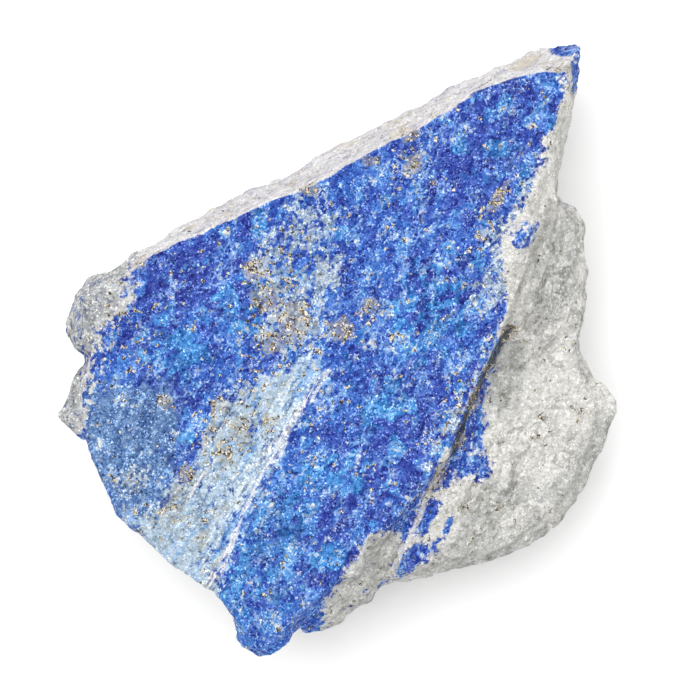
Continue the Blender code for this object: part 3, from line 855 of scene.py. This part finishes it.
def crackled(tree, rock, colour):
    """Light lines between the crystals, in patches: long ones, and fine ones around single grains, which are
    painted highlights on their edges.
    """
    long_lines = times(tree, edges(tree, rock.swirled, CRACKLE, 0.1), step(tree, rock.billow, 0.48, 0.6))
    colour = laid_over(tree, colour, seen(DOMAIN_LINES), long_lines, 0.6)
    # Painted highlight on the edges of single grains
    fine_edge_highlights = times(tree, edges(tree, rock.ragged, GRAIN, 0.14), step(tree, rock.other_mottle, 0.4, 0.7))
    return laid_over(tree, colour, seen(GRAIN_EDGE_HIGHLIGHT), fine_edge_highlights, 0.4)


def calcite_rock(tree, rock):
    """Calcite breaks in larger crystals, some clear and grey, some white, and is greyed with painted shade
    on its shoulder, edges and undersides. The lobes are rusty.
    """
    shade = varied(tree, rock, attribute(tree, "shade"), rock.side_layers, billow=1.4, shard_a=0.4)
    white, grey = ramp(tree, rock.brighter, CALCITE), ramp(tree, rock.brighter, GREY_CALCITE_AND_SHADE)
    colour = blend(tree, step(tree, shade, 0.1, 0.9), white, grey)
    lobe = ramp(tree, varied(tree, rock, rock.bright, billow=0.5, other_mottle=0.4), LOBE)
    rusty = step(tree, rock.other_mottle, 0.5, 0.66)
    lobe = laid_over(tree, lobe, ramp(tree, rock.brighter, TAN), rusty, 0.6)
    colour = blend(tree, attribute(tree, "lobes"), colour, lobe)
    # Painted shade: a grey line where the white rim falls to its flank
    return laid_over(tree, colour, seen(CREASE_SHADE_GREY), frayed(tree, rock, "crease_shade", 0.8, 0.3, 0.9), 0.5)


def far_side_rock(tree, rock):
    """The far side is broken along its layers, pale with rusty patches and a few blue layers."""
    layered = varied(tree, rock, 0.5, times(tree, rock.uneven, 0.5), rock.side_layers, along_ridge=2.2)
    colour = ramp(tree, layered, FAR_ROCK)
    tan = times(tree, attribute(tree, "tan"), 0.25)
    tan = varied(tree, rock, rock.billow, tan, along_ridge=1.2, clouds=0.8)
    colour = laid_over(tree, colour, seen(RUSTY_TAN), step(tree, tan, 0.6, 0.78), 0.6)
    blue = varied(tree, rock, rock.blue_layers, along_ridge=1.6, other_mottle=1.2)
    return laid_over(tree, colour, seen(LILAC_BLUE), step(tree, blue, 0.4, 0.8), 0.6)


def painted_glints_and_pit_shade(tree, rock):
    """Steps of brightness from crystal to crystal, with glints as painted highlights and pits as painted
    shade, full in the blue, weaker in calcite and pale rock.
    """
    often = times(tree, step(tree, rock.other_mottle, 0.35, 0.7), 0.1)
    glints = times(tree, step(tree, total(tree, rock.sugar_c, often), 0.93, 0.98), GLINT)
    pit_shade = times(tree, step(tree, total(tree, rock.sugar_b, often), 0.93, 0.98), -PIT_SHADE)
    steps = varied(tree, rock, glints, pit_shade, sugar_a=0.12, grain_b=0.14)
    dull = maths(tree, "SUBTRACT", rock.white, times(tree, attribute(tree, "lobes"), 0.8))
    dull = maths(tree, "MAXIMUM", dull, times(tree, rock.pale, 0.5))
    return times(tree, steps, total(tree, 1.0, times(tree, dull, -0.6)))


def rust_stain_and_painted_shade(tree, rock, colour):
    """A stain of rust around the pyrite, partly painted shade along the ledge, and dark lines of painted
    shade in the corner of the ledge and at its foot.
    """
    # Rust, and painted shade along the ledge
    rust_stain_and_ledge_shade = step(tree, varied(tree, rock, rock.rust, grain_b=0.5, mottle=1.2), 0.4, 0.8)
    colour = laid_over(tree, colour, ramp(tree, rock.bright, TAN), rust_stain_and_ledge_shade, 0.5)
    # Painted shade: dark lines in the corner of the ledge and at its foot
    return laid_over(tree, colour, seen(JOINT_SHADE_DARK), frayed(tree, rock, "joint_shade", 1.0, 0.35, 0.8), 0.85)


def rock_colour(tree, rock):
    """The kinds of rock laid over each other, from the blue up to the pyrite, with painted highlights and
    painted shade among them.
    """
    colour = lazurite(tree, rock)
    colour = steel_and_veils(tree, rock, colour)
    colour = pale_zone(tree, rock, colour)
    colour = white_vein(tree, rock, colour)
    colour = crackled(tree, rock, colour)
    colour = blend(tree, rock.calcite, colour, calcite_rock(tree, rock))
    # Painted highlight: the pale crests, partly white calcite, are lighter as edges that catch the light
    colour = laid_over(tree, colour, seen(CREST_HIGHLIGHT_WHITE), frayed(tree, rock, "crest_calcite_and_highlight", 0.8, 0.35, 0.8), 0.75)
    colour = blend(tree, rock.far_wall, colour, far_side_rock(tree, rock))
    # Painted highlights and painted shade: glints and pits on single crystals
    colour = painted_light_and_shade(tree, colour, painted_glints_and_pit_shade(tree, rock))
    # Rust, and painted shade along the ledge
    colour = rust_stain_and_painted_shade(tree, rock, colour)
    # Pyrite grains, the nearly white ones painted glints
    return laid_over(tree, colour, ramp(tree, rock.sugar_b, PYRITE_AND_GLINTS, crisp=True), rock.pyrite, 0.9)


def relief(tree, rock):
    """Every crystal leans its own way, on a broader unevenness. Calcite has larger crystals too."""
    large = times(tree, tilted(tree, rock.ragged, rock.shards, 0.5), attribute(tree, "calcite"))
    middle = tilted(tree, rock.swirled, rock.domains, 0.45)
    small = tilted(tree, rock.ragged, rock.grains, 0.7)
    height = varied(tree, rock, small, middle, large, mottle=0.25)
    bump = node(tree, "ShaderNodeBump", {"Height": height, "Strength": 1.0, "Distance": MM})
    return bump.outputs["Normal"]


def broken_lapis_lazuli():
    """Freshly broken lapis lazuli: each grain of lazurite, calcite or pyrite takes its own tone and tilt,
    so that the eye sees sugar-like crystals with small glints, partly glossy faces and partly painted
    highlights, instead of a flat painted surface."""
    material = bpy.data.materials.new("broken_lapis_lazuli")
    material.use_nodes = True
    tree = material.node_tree
    rock = grains_and_noises(tree)
    mix_noises(tree, rock)
    share_out(tree, rock)
    # A few flat crystal faces shine, the rest is matt
    gloss = step(tree, rock.grain_a, 0.8, 0.95)
    surface = {
        "Base Color": rock_colour(tree, rock),
        "Roughness": total(tree, 0.66, times(tree, gloss, -0.3)),
        "Metallic": times(tree, rock.pyrite, 0.5),
        "Normal": relief(tree, rock),
    }
    shader = tree.nodes["Principled BSDF"]
    shader.inputs["Specular IOR Level"].default_value = 0.2
    for name, value in surface.items():
        tree.links.new(value, shader.inputs[name])
    return material


def stone_piece():
    """The dressed stone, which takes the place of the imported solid."""
    skin = new_skin(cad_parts["lapis_lazuli"])
    paint_zones(skin)
    break_skin(skin)
    skin.data.materials.clear()
    skin.data.materials.append(broken_lapis_lazuli())
    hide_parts("lapis_lazuli")
    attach(skin, "root")


# The ground, the light and the camera


def ground():
    """A sheet of matt white paper, which gives the stone a clean pale ground."""
    bpy.ops.mesh.primitive_plane_add(size=PAPER_SIZE * MM)
    floor = bpy.context.active_object
    floor.name = "ground"
    material = bpy.data.materials.new("white_paper")
    material.use_nodes = True
    shader = material.node_tree.nodes["Principled BSDF"]
    shader.inputs["Base Color"].default_value = linear(PAPER_WHITE)
    shader.inputs["Roughness"].default_value = PAPER_ROUGHNESS
    floor.data.materials.append(material)


def window():
    """A square area light turned to the stone."""
    data = bpy.data.lights.new("window", "AREA")
    data.size = WINDOW_SIZE * MM
    data.energy = WINDOW_POWER
    obj = bpy.data.objects.new("window", data)
    obj.location = Vector(WINDOW_PLACE) * MM
    obj.rotation_mode = "QUATERNION"
    obj.rotation_quaternion = (-obj.location).to_track_quat("-Z", "Y")
    bpy.context.scene.collection.objects.link(obj)


def sky():
    """Even white light from all sides."""
    world = bpy.data.worlds.new("studio")
    bpy.context.scene.world = world
    world.use_nodes = True
    background = world.node_tree.nodes["Background"]
    background.inputs["Color"].default_value = linear("#ffffff")
    background.inputs["Strength"].default_value = SKY_STRENGTH


def camera():
    """Looks straight down, with the picture as wide as PICTURE_WIDTH at the level that is to scale."""
    data = bpy.data.cameras.new("camera")
    data.sensor_width = 36.0
    data.lens = data.sensor_width * (CAMERA_HEIGHT - SHARP_LEVEL) / PICTURE_WIDTH
    data.clip_start = 0.05
    data.clip_end = 20.0
    obj = bpy.data.objects.new("camera", data)
    east = LOOKS_AT[0] - PLAN_CENTRE[0]
    north = LOOKS_AT[1] - PLAN_CENTRE[1]
    obj.location = Vector((east, north, CAMERA_HEIGHT)) * MM
    bpy.context.scene.collection.objects.link(obj)
    bpy.context.scene.camera = obj


stone_piece()
ground()
sky()
window()
camera()
bpy.context.scene.view_settings.view_transform = "Standard"
